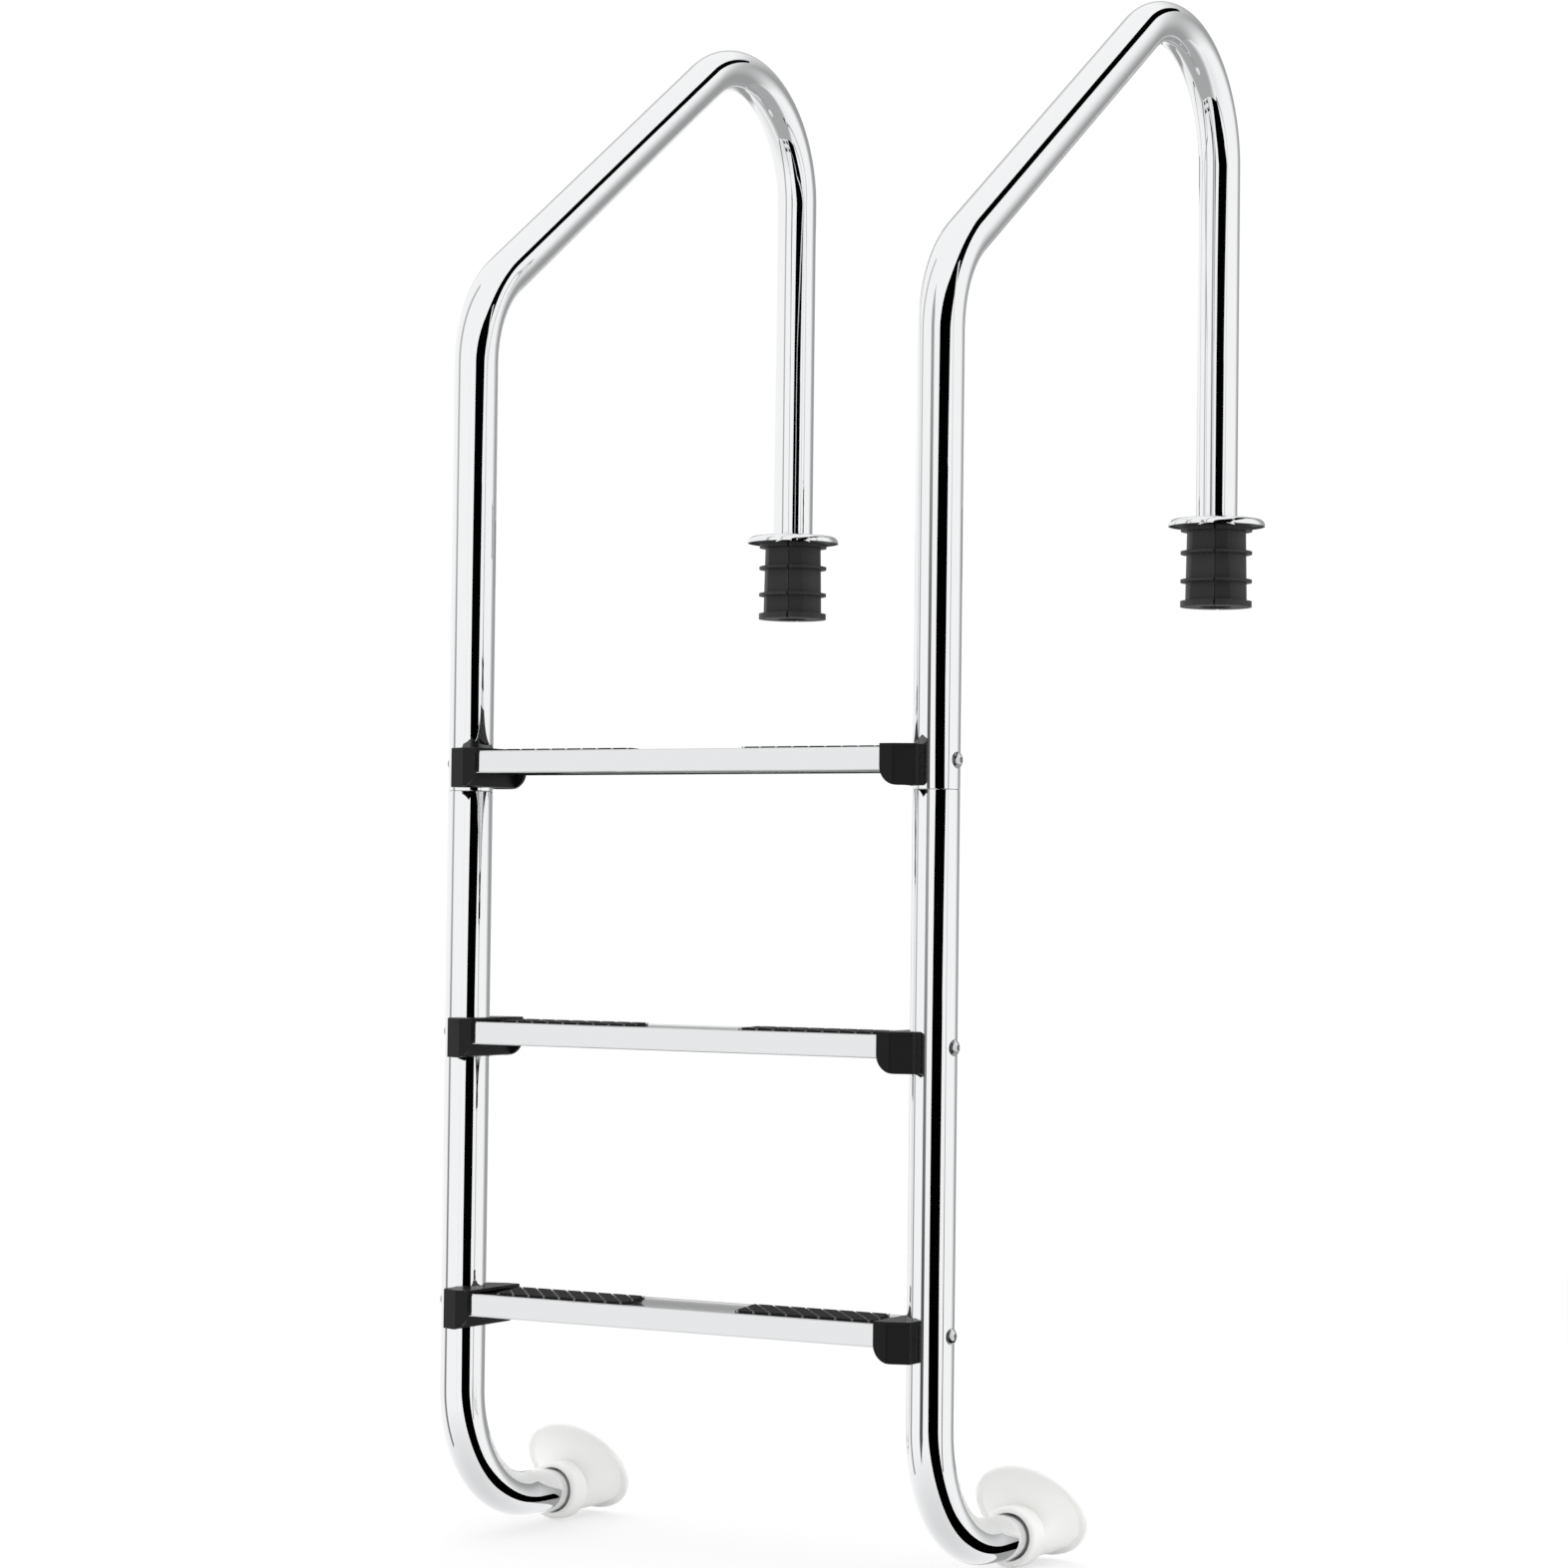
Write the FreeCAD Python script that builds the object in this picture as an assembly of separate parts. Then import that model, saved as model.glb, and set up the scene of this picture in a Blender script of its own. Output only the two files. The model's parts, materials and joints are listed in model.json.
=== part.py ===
# Pool ladder with three treads, for an in-ground pool.
# Two bent stainless rails stand in ribbed deck anchors, reach over the pool's edge and hang down into the water,
# where they carry three bolted treads and end in soft bumpers that lean on the pool wall.
# Millimetres. +Z is up, +Y runs from the pool to the deck, +X is to the right of a swimmer who faces the ladder.
# The origin is at deck level, midway between the two anchors.

import FreeCAD
import Part
import math
import os

V = FreeCAD.Vector
X_AXIS = V(1, 0, 0)
Z_AXIS = V(0, 0, 1)

# Points nearer than this are one point
TOUCH = 0.001

# Rails: one bent tube over the deck and one below it on each side
TUBE_OD = 42.0
TUBE_WALL = 1.2
RAIL_SPACING = 500.0
DECK_REACH = 610.0
CREST_START = 368.5
CREST_RADIUS = 124.0
KNEE_RADIUS = 112.0
INCLINE = 35.0
ANCHOR_ENTRY = 80.0
SEAM_DROP = 26.0
SEAM_GAP = 0.4
FOOT_DROP = 83.0
FOOT_RADIUS = 113.0
FOOT_TURN = 86.4
FOOT_RUN = 50.0

# Sleeve inside each rail, across the seam
SLEEVE_LENGTH = 100.0
SLEEVE_WALL = 1.5
SLEEVE_CLEARANCE = 0.1

# Treads: folded channels with a shallow recess for the grip pads
FIRST_TREAD_DEPTH = 261.0
TREAD_PITCH = 254.0
TREAD_DEPTH = 80.0
TREAD_RISE = 11.0
TREAD_HEIGHT = 21.0
TREAD_LIP = 8.0
SHEET = 1.5
SHEET_BEND = 0.8
RECESS_DEPTH = 1.0
RECESS_RIM = 6.0

# Moulded end caps
CAP_OVERLAP = 10.0
CAP_CLEARANCE = 0.2
GROOVE_CLEARANCE = 0.15
END_WALL = 2.85
CAP_PANEL = 3.8
CAP_TOP = 2.8
CAP_HEIGHT = 37.0
CAP_BACK_OFF = 1.7
CAP_TAPER = 7.8
CAP_CORNER = 3.0
CAP_EDGE = 1.2
CAP_LOWER_RADIUS = 17.0
CAP_SKIN = 3.0
FACET_BAND = 3.0
FACET_RECESS = 0.8
CORE_LENGTH = 21.0
CORE_WIDTH = 56.0

# Bolts and nuts
BOLT_DIAMETER = 8.0
BOLT_HOLE = 8.4
BOLT_HEAD_DIAMETER = 15.4
BOLT_HEAD_HEIGHT = 4.0
BOLT_SOCKET = 5.0
BOLT_SOCKET_DEPTH = 2.0
BOLT_RUN_OUT = 1.0
NUT_FLATS = 13.0
NUT_THICKNESS = 6.5
NUT_SEAT_WALL = 7.5
NUT_CLEARANCE = 0.15
THREAD_CLEARANCE = 0.05

# Grip pads
PAD_LENGTH = 141.0
PAD_WIDTH = 60.0
PAD_THICKNESS = 2.6
PAD_CAP_GAP = 15.8
PAD_SLANT = 14.0
PAD_CORNER = 3.0
GROOVE_WIDTH = 1.8
GROOVE_DEPTH = 1.5
GROOVE_PITCH = 13.2
GROOVE_ANGLE = 38.5

# Escutcheons: pressed flanges that lie on the deck
FLANGE_OD = 98.5
FLANGE_SHEET = 1.2
FLANGE_SHOULDER = 7.2
FLANGE_SHOULDER_BEND = 4.5
FLANGE_RISE = 2.5
FLANGE_CLEARANCE = 0.3

# Deck anchors: two half shells each
ANCHOR_LENGTH = 82.5
ANCHOR_TOP_RADIUS = 30.0
ANCHOR_BOTTOM_RADIUS = 31.5
ANCHOR_CLEARANCE = 0.15
ANCHOR_LEDGE = 5.0
RIB_RADIUS = 36.5
RIB_THICKNESS = 3.0
RIB_DEPTHS = (25.5, 54.5)
TOP_RIB_START = 0.5
TOP_RIB_THICKNESS = 4.5
BOTTOM_RIB_THICKNESS = 6.0
SPLIT_AZIMUTH = 21.0
SPLIT_GAP = 0.5
RIB_GAP = 2.0
LAND_WIDTH = 10.0
FACET_WIDTH = 24.0

# Bumpers
COLLAR_LENGTH = 22.0
COLLAR_WALL = 7.0
COLLAR_FRONT_EDGE = 5.0
COLLAR_BACK_EDGE = 2.0
BUMPER_GRIP = 25.0
BUMPER_CLEARANCE = 0.05
BUMPER_WALL = 4.0
NECK_STEP = 4.0
BELL_WAIST = 3.0
MOUTH_RADIUS = 55.0
MOUTH_TILT = 36.0
MOUTH_FORWARD = 25.0
MOUTH_RISE = 21.2
LIP_THICKNESS = 4.5
LIP_OVERHANG = 6.5
LIP_EDGE = 2.0

# Derived places
RAIL_X = RAIL_SPACING / 2
TUBE_R = TUBE_OD / 2
TUBE_BORE_R = TUBE_R - TUBE_WALL
TREADS = {
    "top": -FIRST_TREAD_DEPTH,
    "middle": -FIRST_TREAD_DEPTH - TREAD_PITCH,
    "bottom": -FIRST_TREAD_DEPTH - 2 * TREAD_PITCH,
}
SEAM_Z = TREADS["top"] - SEAM_DROP
FOOT_Z = TREADS["bottom"] - FOOT_DROP
SIDES = {"left": -1, "right": 1}
CAP_OUTER_X = RAIL_X - CAP_BACK_OFF
FACET_X = RAIL_X - TUBE_R
END_WALL_X = RAIL_X - TUBE_R - GROOVE_CLEARANCE - END_WALL
TREAD_END_X = END_WALL_X - CAP_CLEARANCE
CAP_INNER_X = TREAD_END_X - CAP_OVERLAP
NUT_SEAT_X = END_WALL_X - NUT_SEAT_WALL
CAP_INSIDE_Y = TREAD_DEPTH / 2 + CAP_CLEARANCE
CAP_HALF_DEPTH = CAP_INSIDE_Y + CAP_PANEL
CAP_INSIDE_Z = TREAD_RISE + CAP_CLEARANCE
CAP_TOP_Z = CAP_INSIDE_Z + CAP_TOP
CAP_BOTTOM_Z = CAP_TOP_Z - CAP_HEIGHT
PAD_FLOOR_Z = TREAD_RISE - RECESS_DEPTH


def across(u, v):
    """A point of a section across the treads: u along Y, v along Z."""
    return V(0, u, v)


def radial(u, v):
    """A point of a section to be turned about the Z axis: u from the axis, v along Z."""
    return V(u, 0, v)


def plan(u, v):
    """A point of an outline seen from above: u along X, v along Y."""
    return V(u, v, 0)


def side(u, v):
    """A point of an outline seen along Y: u along X, v along Z."""
    return V(u, 0, v)


def outline_face(corners, place):
    """Face of a closed outline, whose corners are (u, v, radius), with each corner rounded by its radius."""
    count = len(corners)
    starts = []
    ends = []
    middles = []
    for i in range(count):
        u, v, radius = corners[i]
        before = V(corners[i - 1][0] - u, corners[i - 1][1] - v, 0)
        after = V(corners[(i + 1) % count][0] - u, corners[(i + 1) % count][1] - v, 0)
        before.normalize()
        after.normalize()
        half = before.getAngle(after) / 2
        corner = V(u, v, 0)
        reach = radius / math.tan(half)
        starts.append(corner + before * reach)
        ends.append(corner + after * reach)
        bisector = before + after
        if radius > 0:
            bisector.normalize()
        middles.append(corner + bisector * (radius / math.sin(half) - radius))
    edges = []
    for i in range(count):
        if corners[i][2] > 0:
            points = [place(p.x, p.y) for p in (starts[i], middles[i], ends[i])]
            edges.append(Part.Arc(*points).toShape())
        line_start = place(ends[i].x, ends[i].y)
        line_end = place(starts[(i + 1) % count].x, starts[(i + 1) % count].y)
        if (line_end - line_start).Length > TOUCH:
            edges.append(Part.makeLine(line_start, line_end))
    return Part.Face(Part.Wire(edges))


def folded_face(points, thickness, bend, place):
    """Face of a folded sheet: a strip of even thickness along a middle line of points, bent round at each one."""
    left = []
    right = []
    for i, point in enumerate(points):
        here = V(point[0], point[1], 0)
        arriving = here - V(*points[i - 1], 0) if i > 0 else V(*points[1], 0) - here
        leaving = V(*points[i + 1], 0) - here if i < len(points) - 1 else arriving
        arriving = V(arriving).normalize()
        leaving = V(leaving).normalize()
        normal = V(-arriving.y - leaving.y, arriving.x + leaving.x, 0).normalize()
        mitre = normal * (thickness / 2 / normal.dot(V(-arriving.y, arriving.x, 0)))
        turn = arriving.x * leaving.y - arriving.y * leaving.x
        is_end = i in (0, len(points) - 1)
        left_radius = 0 if is_end else (bend if turn > 0 else bend + thickness)
        right_radius = 0 if is_end else (bend + thickness if turn > 0 else bend)
        left.append((here.x + mitre.x, here.y + mitre.y, left_radius))
        right.append((here.x - mitre.x, here.y - mitre.y, right_radius))
    return outline_face(left + right[::-1], place)


def box(x, y, z):
    """Box between the pairs of limits x, y and z."""
    return Part.makeBox(x[1] - x[0], y[1] - y[0], z[1] - z[0], V(x[0], y[0], z[0]))


def cross_bore(radius, x, y, z):
    """Cylinder along X between the pair of limits x."""
    return Part.makeCylinder(radius, x[1] - x[0], V(x[0], y, z), X_AXIS)


def hexagon_bar(flats, x, y, z):
    """Hexagonal bar along X between the pair of limits x."""
    corner = flats / math.sqrt(3)
    points = []
    for i in range(7):
        angle = math.radians(60 * i)
        points.append(V(x[0], y + corner * math.sin(angle), z + corner * math.cos(angle)))
    return Part.Face(Part.makePolygon(points)).extrude(V(x[1] - x[0], 0, 0))


def heading_vector(heading):
    """Direction in the YZ plane, at an angle in degrees from +Y towards +Z."""
    return V(0, math.cos(math.radians(heading)), math.sin(math.radians(heading)))


def bent_tube(start, heading, moves, outer, inner):
    """Tube that follows straight runs and bends in the YZ plane; returns it with its end point and end heading."""
    point = V(start)
    pieces = []
    for length, radius, turn in moves:
        direction = heading_vector(heading)
        disc = Part.Face(Part.Wire(Part.makeCircle(outer, point, direction)))
        ring = disc.cut(Part.Face(Part.Wire(Part.makeCircle(inner, point, direction)))).Faces[0]
        if length > 0:
            pieces.append(ring.extrude(direction * length))
            point = point + direction * length
        if turn > 0:
            centre = point + heading_vector(heading + 90) * radius
            ring.translate(direction * length)
            pieces.append(ring.revolve(centre, X_AXIS, turn))
            heading = heading + turn
            point = centre - heading_vector(heading + 90) * radius
    tube = pieces[0].multiFuse(pieces[1:]) if len(pieces) > 1 else pieces[0]
    return tube.removeSplitter(), point, heading


def bolt_bores(x_side, levels):
    """Holes across one rail for the tread bolts at the given levels."""
    reach = (x_side * RAIL_X - TUBE_OD, x_side * RAIL_X + TUBE_OD)
    return [cross_bore(BOLT_HOLE / 2, reach, -DECK_REACH, z) for z in levels]


def handrail(x_side):
    """Upper tube: up from the anchor, over the crest, down the incline and round the knee to the seam."""
    slope = math.radians(INCLINE)
    crest_out = CREST_RADIUS * (1 + math.sin(slope))
    knee_out = KNEE_RADIUS * (1 - math.cos(math.radians(90 - INCLINE)))
    incline_run = (DECK_REACH - crest_out - knee_out) / math.cos(slope)
    knee_end = (
        CREST_START + CREST_RADIUS * math.cos(slope)
        - incline_run * math.sin(slope) - KNEE_RADIUS * math.cos(slope)
    )
    moves = [
        (CREST_START + ANCHOR_ENTRY, CREST_RADIUS, 90 + INCLINE),
        (incline_run, KNEE_RADIUS, 90 - INCLINE),
        (knee_end - SEAM_Z - SEAM_GAP / 2, 0, 0),
    ]
    start = V(x_side * RAIL_X, 0, -ANCHOR_ENTRY)
    tube = bent_tube(start, 90, moves, TUBE_R, TUBE_BORE_R)[0]
    return tube.cut(bolt_bores(x_side, [TREADS["top"]]))


def lower_rail(x_side):
    """Lower tube: down from the seam and round the foot bend towards the wall; returns it with the foot's end."""
    start = V(x_side * RAIL_X, -DECK_REACH, SEAM_Z - SEAM_GAP / 2)
    moves = [
        (start.z - FOOT_Z, FOOT_RADIUS, FOOT_TURN),
        (FOOT_RUN + BUMPER_GRIP, 0, 0),
    ]
    tube, end, heading = bent_tube(start, -90, moves, TUBE_R, TUBE_BORE_R)
    levels = [TREADS["middle"], TREADS["bottom"]]
    return tube.cut(bolt_bores(x_side, levels)), end, heading


def joint_sleeve(x_side):
    """Spigot tube inside the rail, across the seam, held by the top tread's bolt."""
    outer = TUBE_BORE_R - SLEEVE_CLEARANCE
    start = V(x_side * RAIL_X, -DECK_REACH, SEAM_Z + SLEEVE_LENGTH / 2)
    tube = bent_tube(start, 270, [(SLEEVE_LENGTH, 0, 0)], outer, outer - SLEEVE_WALL)[0]
    return tube.cut(bolt_bores(x_side, [TREADS["top"]]))


def tread(level):
    """Folded channel, open below, with in-turned lips and a recessed top."""
    inset = SHEET / 2
    wall_y = TREAD_DEPTH / 2 - inset
    top_z = TREAD_RISE - inset
    low_z = TREAD_RISE - TREAD_HEIGHT + inset
    lip_y = TREAD_DEPTH / 2 - TREAD_LIP
    recess_y = TREAD_DEPTH / 2 - RECESS_RIM
    floor_z = top_z - RECESS_DEPTH
    front = [
        (-lip_y, low_z),
        (-wall_y, low_z),
        (-wall_y, top_z),
        (-recess_y, top_z),
        (-recess_y + RECESS_DEPTH, floor_z),
    ]
    rear = [(-y, z) for y, z in reversed(front)]
    section = folded_face(front + rear, SHEET, SHEET_BEND, across)
    channel = section.extrude(V(2 * TREAD_END_X, 0, 0))
    channel.translate(V(-TREAD_END_X, -DECK_REACH, level))
    return channel


def cap_block():
    """The cap's outer form: straight beside the tread, tapered beside the rail, rounded along its top."""
    back_y = CAP_HALF_DEPTH - CAP_TAPER
    half = [
        (CAP_INNER_X, -CAP_HALF_DEPTH, 0),
        (FACET_X, -CAP_HALF_DEPTH, CAP_CORNER),
        (CAP_OUTER_X, -back_y, CAP_CORNER),
    ]
    corners = half + [(x, -y, radius) for x, y, radius in reversed(half)]
    face = outline_face(corners, plan)
    face.translate(V(0, 0, CAP_BOTTOM_Z))
    block = face.extrude(V(0, 0, CAP_HEIGHT))
    top_edges = [
        edge for edge in block.Edges
        if edge.BoundBox.ZMin > CAP_TOP_Z - TOUCH and edge.BoundBox.XMax > CAP_INNER_X + CAP_EDGE
    ]
    return block.makeFillet(CAP_EDGE, top_edges)


def cap_hollow():
    """Room under the cap beside the rail, left by its skin and by the wall of the groove."""
    slope = CAP_TAPER / (CAP_OUTER_X - FACET_X)
    skin_y = CAP_HALF_DEPTH - CAP_SKIN * math.hypot(1, slope)
    far_x = CAP_OUTER_X - CAP_SKIN
    far_y = skin_y - slope * (far_x - FACET_X)
    near_x = END_WALL_X + END_WALL
    corners = [(near_x, -skin_y, 0), (far_x, -far_y, 0), (far_x, far_y, 0), (near_x, skin_y, 0)]
    face = outline_face(corners, plan)
    face.translate(V(0, 0, CAP_BOTTOM_Z))
    room = face.extrude(V(0, 0, CAP_HEIGHT - CAP_SKIN))
    groove_wall = TUBE_R + GROOVE_CLEARANCE + CAP_SKIN
    return room.cut(Part.makeCylinder(groove_wall, CAP_HEIGHT, V(RAIL_X, 0, CAP_BOTTOM_Z)))


def facet_recess(y_side):
    """Shallow recess in the slanted outer facet, below the band that is left along the top."""
    shoulder_y = y_side * CAP_HALF_DEPTH
    back_y = y_side * (CAP_HALF_DEPTH - CAP_TAPER)
    run = CAP_OUTER_X - FACET_X
    step = FACET_RECESS * math.hypot(run, CAP_TAPER) / run
    far_x = CAP_OUTER_X + CAP_CORNER
    far_y = back_y - y_side * CAP_TAPER * CAP_CORNER / run
    strip = [
        (FACET_X, shoulder_y - y_side * step, 0),
        (far_x, far_y - y_side * step, 0),
        (far_x, far_y + y_side * CAP_PANEL, 0),
        (FACET_X, shoulder_y + y_side * CAP_PANEL, 0),
    ]
    face = outline_face(strip, plan)
    face.translate(V(0, 0, CAP_BOTTOM_Z))
    return face.extrude(V(0, 0, CAP_HEIGHT - FACET_BAND))


def right_cap():
    """End cap for the right-hand rail, with its bolt on the X axis."""
    corners = [
        (CAP_INNER_X, CAP_BOTTOM_Z, CAP_LOWER_RADIUS),
        (RAIL_X, CAP_BOTTOM_Z, 0),
        (RAIL_X, CAP_TOP_Z, 0),
        (CAP_INNER_X, CAP_TOP_Z, 0),
    ]
    profile = outline_face(corners, side)
    profile.translate(V(0, -CAP_HALF_DEPTH, 0))
    body = cap_block().common(profile.extrude(V(0, 2 * CAP_HALF_DEPTH, 0)))
    groove = Part.makeCylinder(TUBE_R + GROOVE_CLEARANCE, CAP_HEIGHT, V(RAIL_X, 0, CAP_BOTTOM_Z))
    tread_room = box(
        (CAP_INNER_X, END_WALL_X),
        (-CAP_INSIDE_Y, CAP_INSIDE_Y),
        (CAP_BOTTOM_Z, CAP_INSIDE_Z),
    )
    body = body.cut([groove, tread_room, cap_hollow(), facet_recess(-1), facet_recess(1)])
    core_low = TREAD_RISE - TREAD_HEIGHT + SHEET + CAP_CLEARANCE
    core_high = TREAD_RISE - RECESS_DEPTH - SHEET - CAP_CLEARANCE
    core = box(
        (END_WALL_X - CORE_LENGTH, END_WALL_X + END_WALL / 2),
        (-CORE_WIDTH / 2, CORE_WIDTH / 2),
        (core_low, core_high),
    )
    body = body.fuse(core)
    nut_room = hexagon_bar(NUT_FLATS + 2 * NUT_CLEARANCE, (END_WALL_X - CORE_LENGTH, NUT_SEAT_X), 0, 0)
    bore = cross_bore(BOLT_HOLE / 2, (END_WALL_X - CORE_LENGTH, RAIL_X), 0, 0)
    return body.cut([nut_room, bore]).removeSplitter()


def grip_pad(x_side, level):
    """Anti-slip pad with slanted ends and diagonal grooves; both pads of a tread slant the same way."""
    centre_x = x_side * (CAP_INNER_X - PAD_CAP_GAP - PAD_LENGTH / 2)
    half = PAD_LENGTH / 2
    lean = PAD_SLANT / 2
    corners = [
        (centre_x - half + lean, -PAD_WIDTH / 2, PAD_CORNER),
        (centre_x + half + lean, -PAD_WIDTH / 2, PAD_CORNER),
        (centre_x + half - lean, PAD_WIDTH / 2, PAD_CORNER),
        (centre_x - half - lean, PAD_WIDTH / 2, PAD_CORNER),
    ]
    pad = outline_face(corners, plan).extrude(V(0, 0, PAD_THICKNESS))
    grooves = []
    reach = PAD_LENGTH + PAD_WIDTH
    pitch_x = GROOVE_PITCH / math.cos(math.radians(GROOVE_ANGLE))
    count = int(reach / pitch_x / 2)
    for i in range(-count, count + 1):
        groove = box(
            (-GROOVE_WIDTH / 2, GROOVE_WIDTH / 2),
            (-reach, reach),
            (PAD_THICKNESS - GROOVE_DEPTH, PAD_THICKNESS),
        )
        groove.rotate(V(0, 0, 0), Z_AXIS, GROOVE_ANGLE)
        groove.translate(V(centre_x + i * pitch_x, 0, 0))
        grooves.append(groove)
    pad = pad.cut(grooves)
    pad.translate(V(0, -DECK_REACH, level + PAD_FLOOR_Z))
    return pad


def right_bolt():
    """Dome-headed bolt with a hexagon socket, its axis on X and its head against the rail's outer side."""
    seat_x = RAIL_X + TUBE_R
    head_r = BOLT_HEAD_DIAMETER / 2
    dome_r = (head_r ** 2 + BOLT_HEAD_HEIGHT ** 2) / (2 * BOLT_HEAD_HEIGHT)
    dome = Part.makeSphere(dome_r, V(seat_x + BOLT_HEAD_HEIGHT - dome_r, 0, 0))
    head = dome.common(cross_bore(head_r, (seat_x, seat_x + BOLT_HEAD_HEIGHT), 0, 0))
    shank = cross_bore(BOLT_DIAMETER / 2, (NUT_SEAT_X - NUT_THICKNESS - BOLT_RUN_OUT, seat_x), 0, 0)
    face_x = seat_x + BOLT_HEAD_HEIGHT
    socket = hexagon_bar(BOLT_SOCKET, (face_x - BOLT_SOCKET_DEPTH, face_x), 0, 0)
    return head.fuse(shank).cut(socket).removeSplitter()


def right_nut():
    """Hexagon nut in the cap's core."""
    reach = (NUT_SEAT_X - NUT_THICKNESS, NUT_SEAT_X)
    return hexagon_bar(NUT_FLATS, reach, 0, 0).cut(cross_bore(BOLT_DIAMETER / 2 + THREAD_CLEARANCE, reach, 0, 0))


def at_tread(right_shape, x_side, level):
    """Copy of a right-hand piece, at a tread's level and on either side."""
    shape = right_shape.copy()
    if x_side < 0:
        shape = shape.mirror(V(0, 0, 0), X_AXIS)
    shape.translate(V(0, -DECK_REACH, level))
    return shape


def escutcheon(x_side):
    """Pressed flange: a rim that stands on the deck, a rounded shoulder and a top that rises to the tube."""
    outer = FLANGE_OD / 2 - FLANGE_SHEET / 2
    inner = TUBE_R + FLANGE_CLEARANCE
    shoulder = FLANGE_SHOULDER - FLANGE_SHEET / 2
    line = [(outer, 0), (outer, shoulder), (inner, shoulder + FLANGE_RISE)]
    flange = folded_face(line, FLANGE_SHEET, FLANGE_SHOULDER_BEND, radial).revolve(V(0, 0, 0), Z_AXIS, 360)
    opening = Part.makeCylinder(inner, FLANGE_OD, V(0, 0, 0))
    flange = flange.cut(opening)
    flange.translate(V(x_side * RAIL_X, 0, 0))
    return flange


def ring(outer, inner, low, high):
    """Plain ring about the Z axis between two levels."""
    return Part.makeCylinder(outer, high - low, V(0, 0, low)).cut(
        Part.makeCylinder(inner, high - low, V(0, 0, low)))


def beyond_flat(radius, width, azimuth):
    """Block that cuts a flat of a given width from the side of a body with a given radius."""
    distance = math.sqrt(radius ** 2 - (width / 2) ** 2)
    block = box((distance, 2 * radius), (-radius, radius), (-ANCHOR_LENGTH, 0))
    block.rotate(V(0, 0, 0), Z_AXIS, azimuth - 90)
    return block


def anchor_half(x_side, turn_side):
    """One half shell of a deck anchor, on one side of the split plane."""
    bore_r = TUBE_R + ANCHOR_CLEARANCE
    body = Part.makeCone(ANCHOR_BOTTOM_RADIUS, ANCHOR_TOP_RADIUS, ANCHOR_LENGTH, V(0, 0, -ANCHOR_LENGTH))
    land_turn = math.degrees(math.asin(LAND_WIDTH / 2 / ANCHOR_TOP_RADIUS))
    facet_turn = math.degrees(math.asin(FACET_WIDTH / 2 / ANCHOR_TOP_RADIUS))
    body = body.cut([
        beyond_flat(ANCHOR_TOP_RADIUS, LAND_WIDTH, SPLIT_AZIMUTH + land_turn),
        beyond_flat(ANCHOR_TOP_RADIUS, FACET_WIDTH, SPLIT_AZIMUTH - facet_turn),
    ])
    ribs = [(-depth - RIB_THICKNESS, -depth) for depth in RIB_DEPTHS]
    ribs.append((-TOP_RIB_START - TOP_RIB_THICKNESS, -TOP_RIB_START))
    ribs.append((-ANCHOR_LENGTH, -ANCHOR_LENGTH + BOTTOM_RIB_THICKNESS))
    rings = []
    for low, high in ribs:
        rib = ring(RIB_RADIUS, bore_r, low, high)
        slit = box((-RIB_GAP / 2, RIB_GAP / 2), (-RIB_RADIUS, RIB_RADIUS), (low, high))
        slit = slit.cut(Part.makeCylinder(ANCHOR_BOTTOM_RADIUS, high - low, V(0, 0, low)))
        slit.rotate(V(0, 0, 0), Z_AXIS, SPLIT_AZIMUTH)
        rings.append(rib.cut(slit))
    body = body.multiFuse(rings).removeSplitter()
    bore = Part.makeCylinder(bore_r, ANCHOR_ENTRY, V(0, 0, -ANCHOR_ENTRY))
    drain = Part.makeCylinder(bore_r - ANCHOR_LEDGE, ANCHOR_LENGTH, V(0, 0, -ANCHOR_LENGTH))
    keep = box((SPLIT_GAP / 2, 2 * RIB_RADIUS), (-2 * RIB_RADIUS, 2 * RIB_RADIUS), (-ANCHOR_LENGTH, 0))
    if turn_side < 0:
        keep = keep.mirror(V(0, 0, 0), X_AXIS)
    keep.rotate(V(0, 0, 0), Z_AXIS, SPLIT_AZIMUTH)
    half = body.cut([bore, drain]).common(keep)
    half.translate(V(x_side * RAIL_X, 0, 0))
    return half


def tilted_circle(centre, heading, radius):
    """Circle whose normal lies in the YZ plane, starting on its +X side."""
    circle = Part.makeCircle(radius)
    circle.rotate(V(0, 0, 0), X_AXIS, heading - 90)
    circle.translate(centre)
    return Part.Wire(circle)


def rims_about(body, centre):
    """Round edges of a body about a centre."""
    return [edge for edge in body.Edges if (edge.CenterOfMass - centre).Length < TOUCH]


def flare(start, end):
    """Solid between two tilted circles, drawn in half way; each circle is a centre, a heading and a radius."""
    middle = ((start[0] + end[0]) * 0.5, (start[1] + end[1]) / 2, (start[2] + end[2]) / 2 - BELL_WAIST)
    return Part.makeLoft([tilted_circle(*circle) for circle in (start, middle, end)], True, False)


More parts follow.
